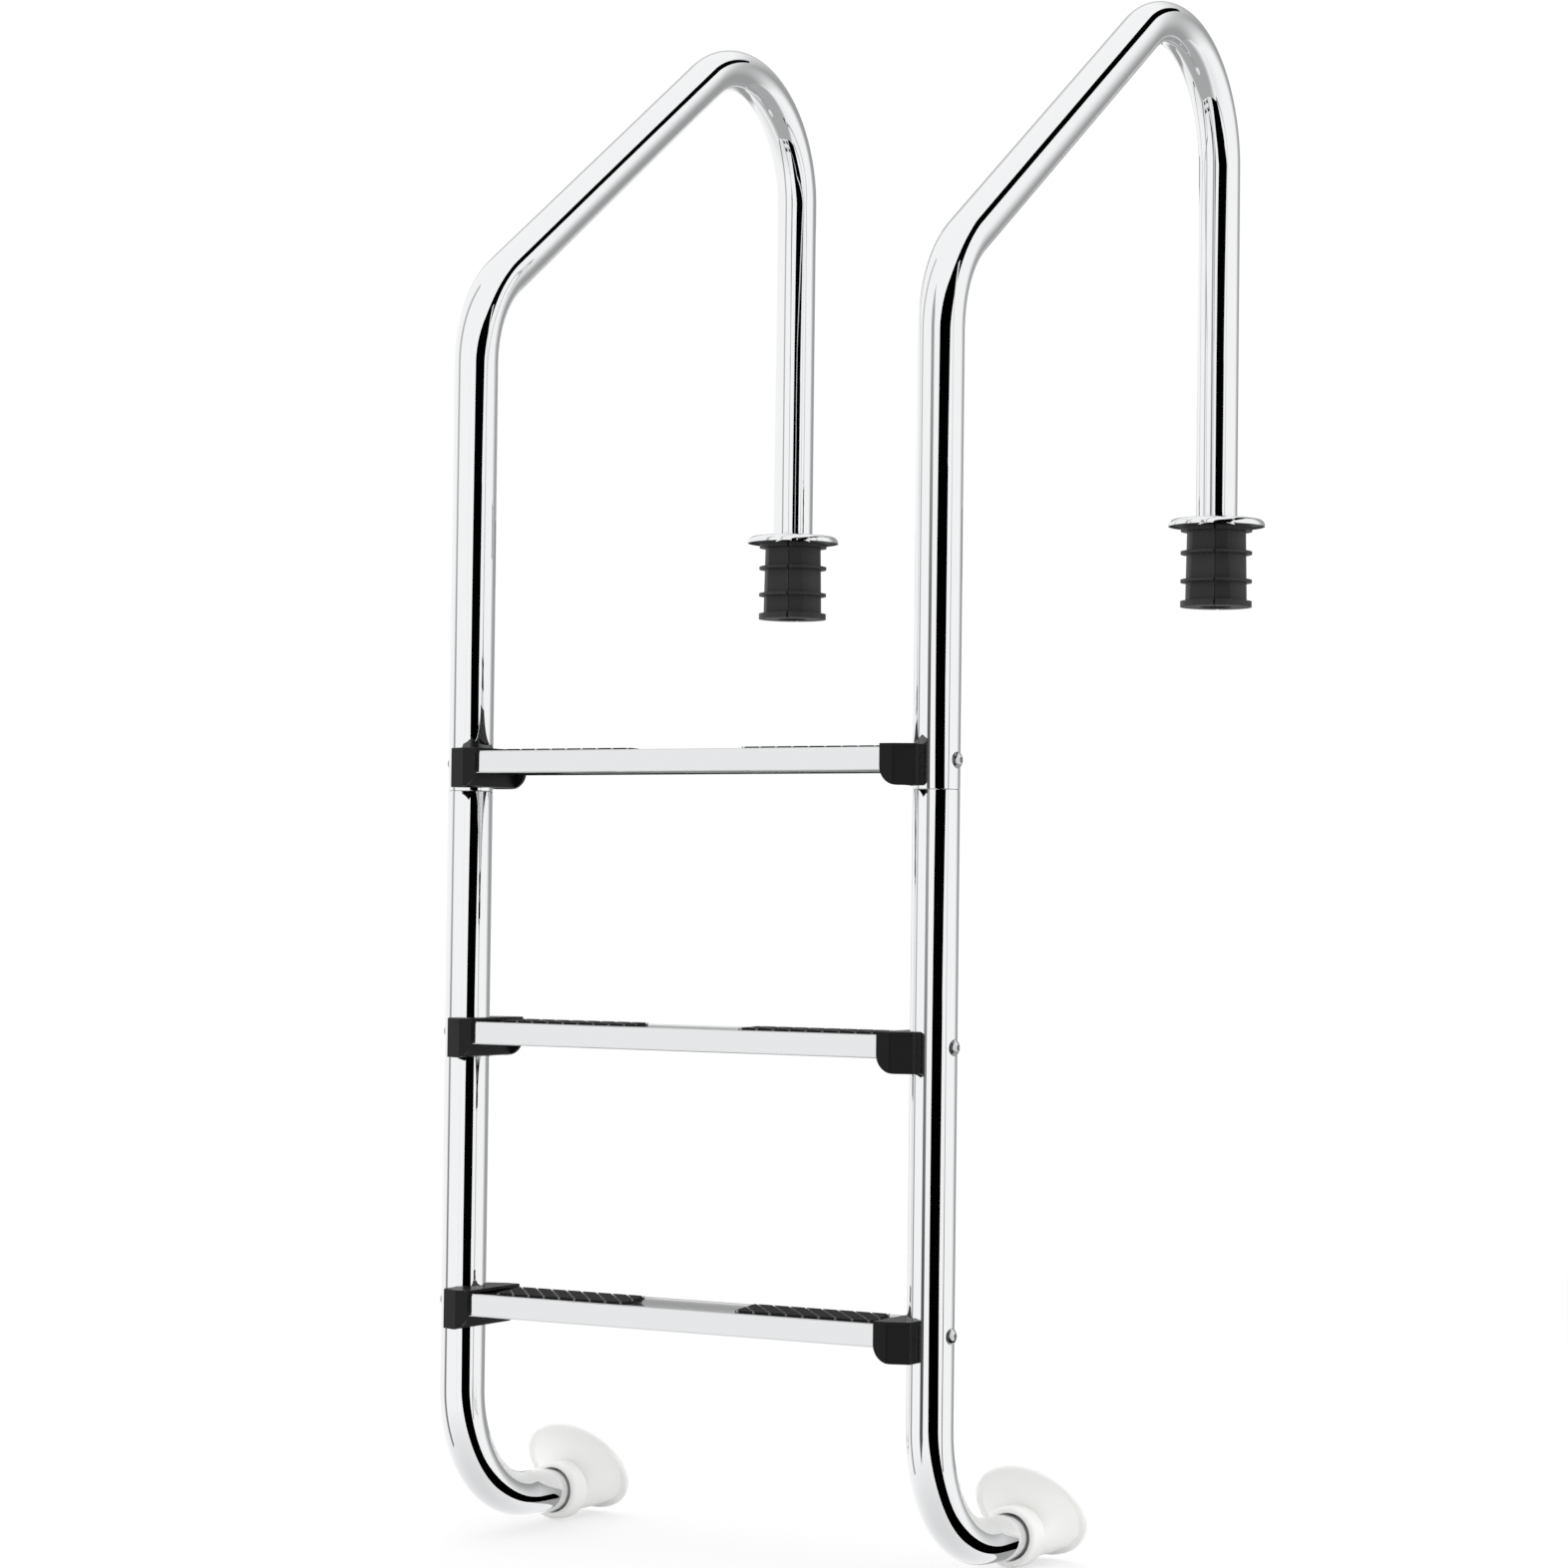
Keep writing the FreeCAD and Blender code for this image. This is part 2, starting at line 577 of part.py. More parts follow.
def bumper(end, heading):
    """Rubber bumper: a collar on the tube's end, a neck and a bell whose tilted mouth meets the wall."""
    forward = heading_vector(heading)
    bore_r = TUBE_R + BUMPER_CLEARANCE
    collar_r = TUBE_R + COLLAR_WALL
    neck_r = collar_r - NECK_STEP
    entry = forward * -BUMPER_GRIP
    collar = Part.makeCylinder(collar_r, COLLAR_LENGTH, entry, forward)
    collar = collar.makeFillet(COLLAR_FRONT_EDGE, rims_about(collar, entry))
    collar = collar.makeFillet(COLLAR_BACK_EDGE, rims_about(collar, entry + forward * COLLAR_LENGTH))
    mouth = V(0, MOUTH_FORWARD, MOUTH_RISE)
    mouth_normal = heading_vector(MOUTH_TILT)
    lip_back = mouth - mouth_normal * LIP_THICKNESS
    neck_start = entry + forward * (COLLAR_LENGTH / 2)
    neck_end = entry + forward * BUMPER_GRIP
    neck = Part.makeCylinder(neck_r, BUMPER_GRIP - COLLAR_LENGTH / 2, neck_start, forward)
    bell_r = MOUTH_RADIUS - LIP_OVERHANG
    bell = flare((neck_end, heading, neck_r), (lip_back + mouth_normal * LIP_EDGE, MOUTH_TILT, bell_r))
    lip = Part.makeCylinder(MOUTH_RADIUS, LIP_THICKNESS, lip_back, mouth_normal)
    lip = lip.makeFillet(LIP_EDGE, rims_about(lip, lip_back) + rims_about(lip, mouth))
    room_start = neck_end + forward * BUMPER_WALL
    room = flare((room_start, heading, neck_r - BUMPER_WALL), (mouth, MOUTH_TILT, bell_r - BUMPER_WALL))
    body = collar.multiFuse([neck, bell, lip])
    socket = Part.makeCylinder(bore_r, BUMPER_GRIP, entry, forward)
    body = body.cut([socket, room]).removeSplitter()
    body.translate(end)
    return body


def export(name, shape):
    """Write one node's STEP file and print its size."""
    shape.exportStep(os.path.join("parts", name + ".step"))
    print(name, len(shape.Solids), "solid", shape.isValid(), round(shape.Volume / 1000, 1), "cm3")


def main():
    os.makedirs("parts", exist_ok=True)
    for side_name, x_side in SIDES.items():
        rail, foot_end, foot_heading = lower_rail(x_side)
        export("handrail_" + side_name, handrail(x_side))
        export("lower_rail_" + side_name, rail)
        export("joint_sleeve_" + side_name, joint_sleeve(x_side))
        export("escutcheon_" + side_name, escutcheon(x_side))
        export("anchor_" + side_name + "_a", anchor_half(x_side, -1))
        export("anchor_" + side_name + "_b", anchor_half(x_side, 1))
        export("bumper_" + side_name, bumper(foot_end, foot_heading))
    cap = right_cap()
    bolt = right_bolt()
    nut = right_nut()
    bolts = []
    nuts = []
    for tread_name, level in TREADS.items():
        export("tread_" + tread_name, tread(level))
        for side_name, x_side in SIDES.items():
            place = tread_name + "_" + side_name
            export("end_cap_" + place, at_tread(cap, x_side, level))
            export("grip_pad_" + place, grip_pad(x_side, level))
            bolts.append(at_tread(bolt, x_side, level))
            nuts.append(at_tread(nut, x_side, level))
    export("tread_bolts", Part.makeCompound(bolts))
    export("tread_nuts", Part.makeCompound(nuts))


main()
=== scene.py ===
# %% [markdown]
# A stainless pool ladder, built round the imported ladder, which holds its true sizes and its moving bodies.
# The rails, flanges, treads and bumpers are modelled again here, because a polished or smooth surface
# shows every facet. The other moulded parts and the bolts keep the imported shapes, merged and given small
# edge radii.

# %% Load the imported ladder
import json
import math

import bpy
from mathutils import Matrix, Vector

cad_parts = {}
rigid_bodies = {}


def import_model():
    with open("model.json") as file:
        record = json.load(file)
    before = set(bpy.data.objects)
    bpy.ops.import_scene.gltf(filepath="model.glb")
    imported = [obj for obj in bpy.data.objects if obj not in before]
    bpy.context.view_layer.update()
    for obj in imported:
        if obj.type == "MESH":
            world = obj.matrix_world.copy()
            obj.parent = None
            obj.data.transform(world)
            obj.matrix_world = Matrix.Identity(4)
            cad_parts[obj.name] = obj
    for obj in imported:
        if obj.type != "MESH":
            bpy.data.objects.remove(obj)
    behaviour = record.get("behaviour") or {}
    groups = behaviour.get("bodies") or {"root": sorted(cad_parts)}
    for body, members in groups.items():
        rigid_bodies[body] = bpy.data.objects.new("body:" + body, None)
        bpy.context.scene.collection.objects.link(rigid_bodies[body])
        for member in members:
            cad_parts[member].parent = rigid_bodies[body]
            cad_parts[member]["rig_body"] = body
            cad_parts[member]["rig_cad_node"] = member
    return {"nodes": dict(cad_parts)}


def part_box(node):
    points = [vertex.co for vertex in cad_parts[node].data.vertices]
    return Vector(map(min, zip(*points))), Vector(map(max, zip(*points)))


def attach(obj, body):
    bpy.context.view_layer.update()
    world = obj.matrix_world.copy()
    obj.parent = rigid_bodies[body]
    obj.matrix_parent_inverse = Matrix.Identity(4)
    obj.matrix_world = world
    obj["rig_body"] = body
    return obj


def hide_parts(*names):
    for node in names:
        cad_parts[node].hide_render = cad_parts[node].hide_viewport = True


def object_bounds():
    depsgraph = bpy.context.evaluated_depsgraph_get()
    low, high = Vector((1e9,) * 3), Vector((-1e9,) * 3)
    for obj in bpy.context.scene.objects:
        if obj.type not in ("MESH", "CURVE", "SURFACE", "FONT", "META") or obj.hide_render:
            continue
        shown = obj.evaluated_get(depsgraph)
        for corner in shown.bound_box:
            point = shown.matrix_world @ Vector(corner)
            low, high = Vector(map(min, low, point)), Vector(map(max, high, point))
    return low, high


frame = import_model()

MM = 0.001
cad_box = [list(corner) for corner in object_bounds()]
print("packed ladder", cad_box)

# %% [markdown]
# Operators act on whatever is selected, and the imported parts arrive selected. Each step here therefore
# starts by clearing the selection, and each finished piece ends with its place in its mesh and its object
# at the origin, so that it rides with its body and its pattern stays where it is.

# %% Selection and finishing helpers
SIDES = ("left", "right")
TREADS = ("top", "middle", "bottom")
MERGE_DISTANCE = 0.01 * MM


def deselect_all():
    if bpy.context.object and bpy.context.object.mode != "OBJECT":
        bpy.ops.object.mode_set(mode="OBJECT")
    bpy.ops.object.select_all(action="DESELECT")


def select_only(obj):
    deselect_all()
    obj.select_set(True)
    bpy.context.view_layer.objects.active = obj


def edit(obj):
    select_only(obj)
    bpy.ops.object.mode_set(mode="EDIT")
    bpy.ops.mesh.select_all(action="SELECT")


def apply_modifiers(obj):
    select_only(obj)
    for modifier in list(obj.modifiers):
        bpy.ops.object.modifier_apply(modifier=modifier.name)


def close_and_orient(obj):
    edit(obj)
    bpy.ops.mesh.remove_doubles(threshold=MERGE_DISTANCE)
    bpy.ops.mesh.normals_make_consistent(inside=False)
    bpy.ops.object.mode_set(mode="OBJECT")


def smooth(obj, angle):
    select_only(obj)
    bpy.ops.object.shade_smooth_by_angle(angle=math.radians(angle))


def dress(obj, material, body, node):
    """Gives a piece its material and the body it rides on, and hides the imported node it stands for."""
    obj.data.materials.clear()
    obj.data.materials.append(material)
    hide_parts(node)
    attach(obj, body)
    print(obj.name, len(obj.data.polygons), "faces")


# %% [markdown]
# The camera stands where the photographer's did: to the right of the ladder, below deck level, with a long
# lens that keeps the rails nearly parallel. Its place and turn were worked out from where the rails,
# treads and anchors fall in the photograph.

# %% Camera
CAMERA_PLACE = Vector((1.8566, -3.6655, -0.3812))
CAMERA_YAW = 29.98
CAMERA_PITCH = 1.62
CAMERA_ROLL = 0.67
CAMERA_LENS = 89.35
SENSOR_WIDTH = 36

camera_data = bpy.data.cameras.new("camera")
camera_data.lens = CAMERA_LENS
camera_data.sensor_width = SENSOR_WIDTH
camera = bpy.data.objects.new("camera", camera_data)
bpy.context.scene.collection.objects.link(camera)
turn = (
    Matrix.Rotation(math.radians(CAMERA_YAW), 4, "Z")
    @ Matrix.Rotation(math.radians(90 + CAMERA_PITCH), 4, "X")
    @ Matrix.Rotation(math.radians(CAMERA_ROLL), 4, "Z")
)
camera.matrix_world = Matrix.Translation(CAMERA_PLACE) @ turn
bpy.context.scene.camera = camera
print("camera with a", CAMERA_LENS, "mm lens at", tuple(CAMERA_PLACE))

# %% [markdown]
# Materials. One function turns the hex colours of a paint chart into the linear values that shaders add
# up, and one small function adds a node with its settings and links.

# %% Colour and node helpers


def linear(hex_colour):
    channels = [int(hex_colour[i:i + 2], 16) / 255 for i in (1, 3, 5)]
    return tuple(c / 12.92 if c <= 0.04045 else ((c + 0.055) / 1.055) ** 2.4 for c in channels) + (1.0,)


def add_node(tree, kind, settings=None, links=None, values=None):
    node = tree.nodes.new(kind)
    for key, value in (settings or {}).items():
        setattr(node, key, value)
    for key, value in (values or {}).items():
        node.inputs[key].default_value = value
    for key, source in (links or {}).items():
        tree.links.new(source, node.inputs[key])
    return node


def new_material(name, **values):
    material = bpy.data.materials.new(name)
    material.use_nodes = True
    shader = material.node_tree.nodes["Principled BSDF"]
    for key, value in values.items():
        shader.inputs[key.replace("_", " ")].default_value = value
    return material, material.node_tree, shader


def object_position(tree):
    return add_node(tree, "ShaderNodeTexCoord").outputs["Object"]


print("sRGB #808080 is", round(linear("#808080")[0], 4), "in linear light")

# %% [markdown]
# Mirror-polished AISI 304 tube. Buffing leaves a bright, nearly neutral mirror with haze so fine that it
# only softens the reflections, so the roughness is low and varies a little with a slow noise. The same
# recipe, with more haze or a darker grey, gives the pressed flanges, the turned bolts and the parts that
# nobody polished. The dark grey inside the flange is partly rougher unpolished steel and partly painted
# shade, standing in for the shade under the flange.

# %% Polished stainless tube
HAZE_PATCH = 60 * MM


def polished_stainless(name, colour, low, high):
    """Stainless steel whose roughness drifts between low and high over patches of haze."""
    material, tree, shader = new_material(name, Metallic=1.0, Base_Color=linear(colour))
    haze = add_node(
        tree, "ShaderNodeTexNoise", links={"Vector": object_position(tree)},
        values={"Scale": 1 / HAZE_PATCH, "Detail": 4.0})
    spread = add_node(
        tree, "ShaderNodeMapRange", links={"Value": haze.outputs["Fac"]},
        values={"To Min": low, "To Max": high})
    tree.links.new(spread.outputs["Result"], shader.inputs["Roughness"])
    print("finish", name, "roughness", low, "to", high)
    return material


tube_steel = polished_stainless("mirror-polished AISI 304 tube", "#f1f2f3", 0.01, 0.02)
flange_steel = polished_stainless("polished pressed AISI 304 flange", "#eff0f1", 0.04, 0.09)
bolt_steel = polished_stainless("turned stainless A2 fastener", "#d9dadb", 0.12, 0.22)
sleeve_steel = polished_stainless("drawn stainless sleeve tube", "#c9cacb", 0.22, 0.35)
# Partly unpolished steel, partly painted shade: its dark grey stands in for the shade under the flange.
flange_inside_painted_shade = polished_stainless("unpolished inside of the pressed flange with painted shade", "#6c6c6d", 0.4, 0.55)

# %% [markdown]
# The treads are folded from polished sheet. Rolling leaves long faint waves in it, which bend the
# reflections along the tread. A noise that is stretched along the tread gives them, as a bump far
# shallower than the sheet.

# %% Polished stainless sheet
SHEET_WAVE_LENGTH = 140 * MM
SHEET_WAVE_HEIGHT = 0.05 * MM
WAVE_STRETCH = 0.25

tread_steel = polished_stainless("polished AISI 304 sheet", "#e6e7e8", 0.06, 0.12)
tree = tread_steel.node_tree
stretch = add_node(
    tree, "ShaderNodeMapping", links={"Vector": object_position(tree)},
    values={"Scale": (WAVE_STRETCH, 1.0, 1.0)})
wave = add_node(
    tree, "ShaderNodeTexNoise", links={"Vector": stretch.outputs["Vector"]},
    values={"Scale": 1 / SHEET_WAVE_LENGTH, "Detail": 1.0})
wave_bump = add_node(
    tree, "ShaderNodeBump", links={"Height": wave.outputs["Fac"]},
    values={"Strength": 1.0, "Distance": SHEET_WAVE_HEIGHT})
tree.links.new(wave_bump.outputs["Normal"], tree.nodes["Principled BSDF"].inputs["Normal"])

# %% [markdown]
# Caps, anchors, pads and bumpers are moulded. The tool's skin leaves a fine grain of 0.3 to 0.6 mm, which
# spreads the highlight without showing as dots, and the colour drifts a little from place to place. The
# pads are a softer, duller compound with smooth grooves, and light goes a few millimetres into the white
# rubber. The grooves' lighter grey is a painted highlight on the same black rubber.

# %% Moulded plastics and rubbers
TINT_PATCH = 25 * MM
RUBBER_SCATTER = (6.0 * MM, 5.5 * MM, 5.0 * MM)


def moulded(name, colour, pale, roughness, grain, height, gloss=0.5):
    """A moulded skin between two close colours, with a grain of the given width and height."""
    material, tree, shader = new_material(
        name, Roughness=roughness, IOR=1.49, Specular_IOR_Level=gloss, Base_Color=linear(colour))
    place = object_position(tree)
    cloud = add_node(
        tree, "ShaderNodeTexNoise", links={"Vector": place}, values={"Scale": 1 / TINT_PATCH, "Detail": 3.0})
    tint = add_node(
        tree, "ShaderNodeMix", settings={"data_type": "RGBA"}, links={"Factor": cloud.outputs["Fac"]},
        values={6: linear(colour), 7: linear(pale)})
    tree.links.new(tint.outputs[2], shader.inputs["Base Color"])
    skin = add_node(
        tree, "ShaderNodeTexNoise", links={"Vector": place}, values={"Scale": 1 / grain, "Detail": 2.0})
    bump = add_node(
        tree, "ShaderNodeBump", links={"Height": skin.outputs["Fac"]},
        values={"Strength": 1.0, "Distance": height})
    tree.links.new(bump.outputs["Normal"], shader.inputs["Normal"])
    print("finish", name, "grain", round(grain / MM, 2), "mm")
    return material


cap_plastic = moulded(
    "black moulded polypropylene", "#121213", "#161617", 0.36, 0.35 * MM, 0.012 * MM, 0.15)
anchor_plastic = moulded("charcoal moulded ABS", "#29292a", "#303031", 0.42, 0.4 * MM, 0.012 * MM, 0.2)
pad_rubber = moulded("matte black TPE pad", "#161617", "#1c1c1d", 0.75, 0.5 * MM, 0.03 * MM, 0.12)
# The grooves are smoother, and their lighter grey is a painted highlight.
groove_rubber_painted_highlight = moulded("glossy groove of the TPE pad with painted highlight", "#6a6a6b", "#747475", 0.25, 2.0 * MM, 0.004 * MM)
bumper_rubber = moulded("white moulded rubber", "#f4f4f2", "#f7f7f5", 0.45, 0.6 * MM, 0.006 * MM)
bumper_shader = bumper_rubber.node_tree.nodes["Principled BSDF"]
bumper_shader.inputs["Subsurface Weight"].default_value = 0.25
bumper_shader.inputs["Subsurface Radius"].default_value = RUBBER_SCATTER

# %% [markdown]
# A bent tube could be a curve with a round bevel, but its ends and its bends are then hard to set exactly.
# Here it is one circle that travels: an extrusion for each straight run, a spin for each bend. The spin's
# centre lies one bend radius to the side of the tube's end, as it does in a pipe bender. Solidify then
# gives the tube its wall, inwards, so that the outside keeps the tube's true diameter.

# %% Bent tube
TUBE_SIDES = 96
TUBE_WALL = 1.2 * MM
BEND_STEP = 2.5
END_CHAMFER = 0.5 * MM


def heading_vector(heading):
    """A direction in the plane of the rails, in degrees from +Y towards +Z."""
    return Vector((0, math.cos(math.radians(heading)), math.sin(math.radians(heading))))


def add_circle(name, centre, heading, radius, sides=TUBE_SIDES):
    deselect_all()
    bpy.ops.mesh.primitive_circle_add(
        vertices=sides, radius=radius, location=centre, rotation=(math.radians(heading - 90), 0, 0))
    obj = bpy.context.object
    obj.name = name
    bpy.ops.object.transform_apply(location=True, rotation=True, scale=True)
    edit(obj)
    return obj


def add_wall(obj, thickness):
    wall = obj.modifiers.new("wall", "SOLIDIFY")
    wall.thickness = thickness
    wall.offset = -1


def add_bevel(obj, name, width, segments, angle):
    bevel = obj.modifiers.new(name, "BEVEL")
    bevel.width = width
    bevel.segments = segments
    bevel.limit_method = "ANGLE"
    bevel.angle_limit = math.radians(angle)


def bent_tube(name, start, heading, moves, radius):
    """Sends a circle through moves, each of a straight length, a bend radius and the bend's degrees."""
    tube = add_circle(name, start, heading, radius)
    point = Vector(start)
    for length, bend_radius, bend in moves:
        step = heading_vector(heading) * length
        bpy.ops.mesh.extrude_region_move(TRANSFORM_OT_translate={"value": step})
        point += step
        if bend:
            centre = point + heading_vector(heading + 90) * bend_radius
            bpy.ops.mesh.spin(
                steps=round(bend / BEND_STEP), angle=-math.radians(bend), center=centre, axis=(1, 0, 0))
            heading += bend
            point = centre - heading_vector(heading + 90) * bend_radius
    close_and_orient(tube)
    add_wall(tube, TUBE_WALL)
    add_bevel(tube, "chamfer", END_CHAMFER, segments=2, angle=60)
    apply_modifiers(tube)
    smooth(tube, 40)
    return tube, point, heading


print("tubes have", TUBE_SIDES, "sides and a step every", BEND_STEP, "degrees of bend")

# %% [markdown]
# The rails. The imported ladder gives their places: the down tube's end in the anchor, the seam under the
# top tread, and the end of the foot. The bend radii and the angles are those of the bending tools.

# %% Rail sizes
CREST_RADIUS = 124 * MM
KNEE_RADIUS = 112 * MM
FOOT_RADIUS = 113 * MM
INCLINE = 35.0
FOOT_TURN = 86.4
ANCHOR_LEDGE = 2.5 * MM


def rail_sizes(side):
    low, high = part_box("handrail_" + side)
    anchor_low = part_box("anchor_" + side + "_a")[0]
    radius = (high.x - low.x) / 2
    return {
        "x": (low.x + high.x) / 2,
        "tube": radius,
        "entry": anchor_low.z + ANCHOR_LEDGE,
        "crest": high.z - radius,
        "rail_y": low.y + radius,
        "down_y": high.y - radius,
        "seam": low.z,
    }


sizes = {side: rail_sizes(side) for side in SIDES}
print("tube radius", round(sizes["left"]["tube"] / MM, 3), "mm, crest at", round(sizes["left"]["crest"], 4))

# %% [markdown]
# A handrail goes up from its anchor, over the crest, down the incline, round the knee and down to the
# seam. The straight run between the two bends is what the ladder's depth leaves for it.

# %% Handrail


def make_handrail(side):
    size = sizes[side]
    slope = math.radians(INCLINE)
    reach = size["down_y"] - size["rail_y"]
    crest_out = CREST_RADIUS * (1 + math.sin(slope))
    knee_out = KNEE_RADIUS * (1 - math.sin(slope))
    run = (reach - crest_out - knee_out) / math.cos(slope)
    crest_start = size["crest"] - CREST_RADIUS
    knee_end = crest_start + (CREST_RADIUS - KNEE_RADIUS) * math.cos(slope) - run * math.sin(slope)
    moves = [
        (crest_start - size["entry"], CREST_RADIUS, 90 + INCLINE),
        (run, KNEE_RADIUS, 90 - INCLINE),
        (knee_end - size["seam"], 0, 0),
    ]
    start = (size["x"], size["down_y"], size["entry"])
    rail, _, _ = bent_tube("handrail_" + side + ".polished", start, 90, moves, size["tube"])
    dress(rail, tube_steel, "ladder", "handrail_" + side)


print("a handrail bends", 90 + INCLINE, "degrees at the crest and", 90 - INCLINE, "at the knee")

# %% [markdown]
# A lower rail goes down from the seam and round the foot bend towards the wall. Its last straight run ends
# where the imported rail's box ends, and its end and heading are kept for the bumper.

# %% Lower rail and both sides


def make_lower_rail(side):
    size = sizes[side]
    low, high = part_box("lower_rail_" + side)
    foot_drop = FOOT_RADIUS * math.sin(math.radians(FOOT_TURN))
    foot_out = FOOT_RADIUS * (1 - math.cos(math.radians(FOOT_TURN)))
    final = heading_vector(270 + FOOT_TURN)
    foot_run = (high.y - size["rail_y"] - foot_out - size["tube"] * -final.z) / final.y
    foot_start = low.z + size["tube"] * final.y - final.z * foot_run + foot_drop
    moves = [(high.z - foot_start, FOOT_RADIUS, FOOT_TURN), (foot_run, 0, 0)]
    start = (size["x"], size["rail_y"], high.z)
    rail, foot, heading = bent_tube("lower_rail_" + side + ".polished", start, 270, moves, size["tube"])
    dress(rail, tube_steel, "ladder", "lower_rail_" + side)
    return foot, heading


feet = {}
for side in SIDES:
    make_handrail(side)
    feet[side] = make_lower_rail(side)
    print(side, "foot ends at", feet[side][0])

# %% [markdown]
# The escutcheons and the bumpers are turned forms. A spun profile would do for the flat ones, but the bell
# tips as it opens, so each is a circle that travels from ring to ring: extruded along, then scaled and
# tipped to the next ring's size and tilt.

# %% Ringed forms


def ringed(name, rings, sides=TUBE_SIDES, close_start=False, close_end=False):
    """Joins rings, each of a centre, a heading and a radius, into one surface."""
    centre, heading, radius = rings[0]
    obj = add_circle(name, centre, heading, radius, sides)
    if close_start:
        bpy.ops.mesh.edge_face_add()
        bpy.ops.mesh.select_all(action="SELECT")
    for next_centre, next_heading, next_radius in rings[1:]:
        bpy.ops.mesh.extrude_region_move(TRANSFORM_OT_translate={"value": next_centre - centre})
        scale = next_radius / radius
        bpy.ops.transform.resize(value=(scale, scale, scale), center_override=next_centre)
        if abs(next_heading - heading) > 1e-6:
            bpy.ops.transform.rotate(
                value=-math.radians(next_heading - heading), orient_axis="X", center_override=next_centre)
        centre, heading, radius = next_centre, next_heading, next_radius
    if close_end:
        bpy.ops.mesh.edge_face_add()
    close_and_orient(obj)
    print(name, "from", len(rings), "rings")
    return obj


# %% [markdown]
# The escutcheon is pressed from sheet: a rim that stands on the deck, a round shoulder and a top that
# rises gently to the tube, with a little room round it so that it slides. Only its outside is polished.
# Its inside is rougher and painted a dark grey, and that grey is painted shade under the flange.

# %% Escutcheons
FLANGE_SHEET = 1.2 * MM
SHOULDER_RADIUS = 5.7 * MM
FLANGE_RISE = 2.5 * MM
FLANGE_ROOM = 0.3 * MM
SHOULDER_STEPS = 8
FLANGE_SIDES = 128
LOOKS_DOWN = -0.5
LOOKS_INWARDS = -0.2

for side in SIDES:
    low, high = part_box("escutcheon_" + side)
    centre = (low + high) / 2
    outer = (high.x - low.x) / 2
    shoulder = high.z - FLANGE_RISE
    profile = [(0, outer)]
    for i in range(SHOULDER_STEPS + 1):
        angle = math.radians(90 * i / SHOULDER_STEPS)
        profile.append((
            shoulder - SHOULDER_RADIUS * (1 - math.sin(angle)),
            outer - SHOULDER_RADIUS * (1 - math.cos(angle)),
        ))
    profile.append((high.z, sizes[side]["tube"] + FLANGE_ROOM))
    flange = ringed(
        "escutcheon_" + side + ".polished",
        [(Vector((centre.x, centre.y, z)), 90, radius) for z, radius in profile], FLANGE_SIDES)
    add_wall(flange, FLANGE_SHEET)
    apply_modifiers(flange)
    smooth(flange, 50)
    dress(flange, flange_steel, "escutcheon_" + side, "escutcheon_" + side)
    # Faces that look down or inwards get the dark inside: rougher unpolished steel with painted shade.
    flange.data.materials.append(flange_inside_painted_shade)
    for face in flange.data.polygons:
        outwards = Vector((face.center.x - centre.x, face.center.y - centre.y, 0)).normalized()
        if face.normal.z < LOOKS_DOWN or face.normal.dot(outwards) < LOOKS_INWARDS:
            face.material_index = 1

# %% [markdown]
# The bumper is moulded in one piece: a collar that grips the tube's end, a short neck and a bell that
# opens upwards and towards the wall, with a rolled lip. Its inside is hollow down to a web at the tube's
# end. One closed chain of rings makes it: from the web back along the bore, forward over the outside and
# down into the bell. The rubber of the real one is stretched over the tube, but here its bore is a little
# wider, so that the two meshes never cut each other while it turns.

# %% Bumper sizes
GRIP = 25 * MM
COLLAR_LENGTH = 22 * MM
COLLAR_RADIUS = 28 * MM
NECK_RADIUS = 24 * MM
COLLAR_FRONT_EDGE = 5 * MM
COLLAR_BACK_EDGE = 2 * MM
BELL_WAIST = 3 * MM
MOUTH_RADIUS = 55 * MM
MOUTH_TILT = 36.0
MOUTH_FORWARD = 25 * MM
MOUTH_RISE = 21.2 * MM
LIP_THICKNESS = 4.5 * MM
LIP_OVERHANG = 6.5 * MM
LIP_EDGE = 2 * MM
BUMPER_WALL = 4 * MM
BORE_GAP = 0.2 * MM
SEAT_GAP = 0.1 * MM
LEAD_IN = 0.9 * MM
LEAD_IN_DEPTH = 2 * MM
BELL_STEPS = 14
EDGE_STEPS = 6


def rounded_edge(centre, heading, radius, edge, closing=False):
    """A quarter-round edge: out to the full radius where a form starts, or in from it where it closes."""
    inwards = heading_vector(heading) * (-1 if closing else 1)
    rings = []
    for i in range(EDGE_STEPS + 1):
        angle = math.radians(90 * i / EDGE_STEPS)
        rings.append((
            centre + inwards * edge * (1 - math.cos(angle)),
            heading,
            radius - edge * (1 - math.sin(angle)),
        ))
    return rings[::-1] if closing else rings


def bell_rings(start, end):
    """The rings between two others, on a line that is drawn in at its middle to a waist."""
    rings = []
    for i in range(1, BELL_STEPS):
        share = i / BELL_STEPS
        rings.append((
            start[0].lerp(end[0], share),
            start[1] + (end[1] - start[1]) * share,
            start[2] + (end[2] - start[2]) * share - 4 * BELL_WAIST * share * (1 - share),
        ))
    return [start] + rings + [end]


print("bell", 2 * MOUTH_RADIUS / MM, "mm across, tilted", MOUTH_TILT, "degrees")

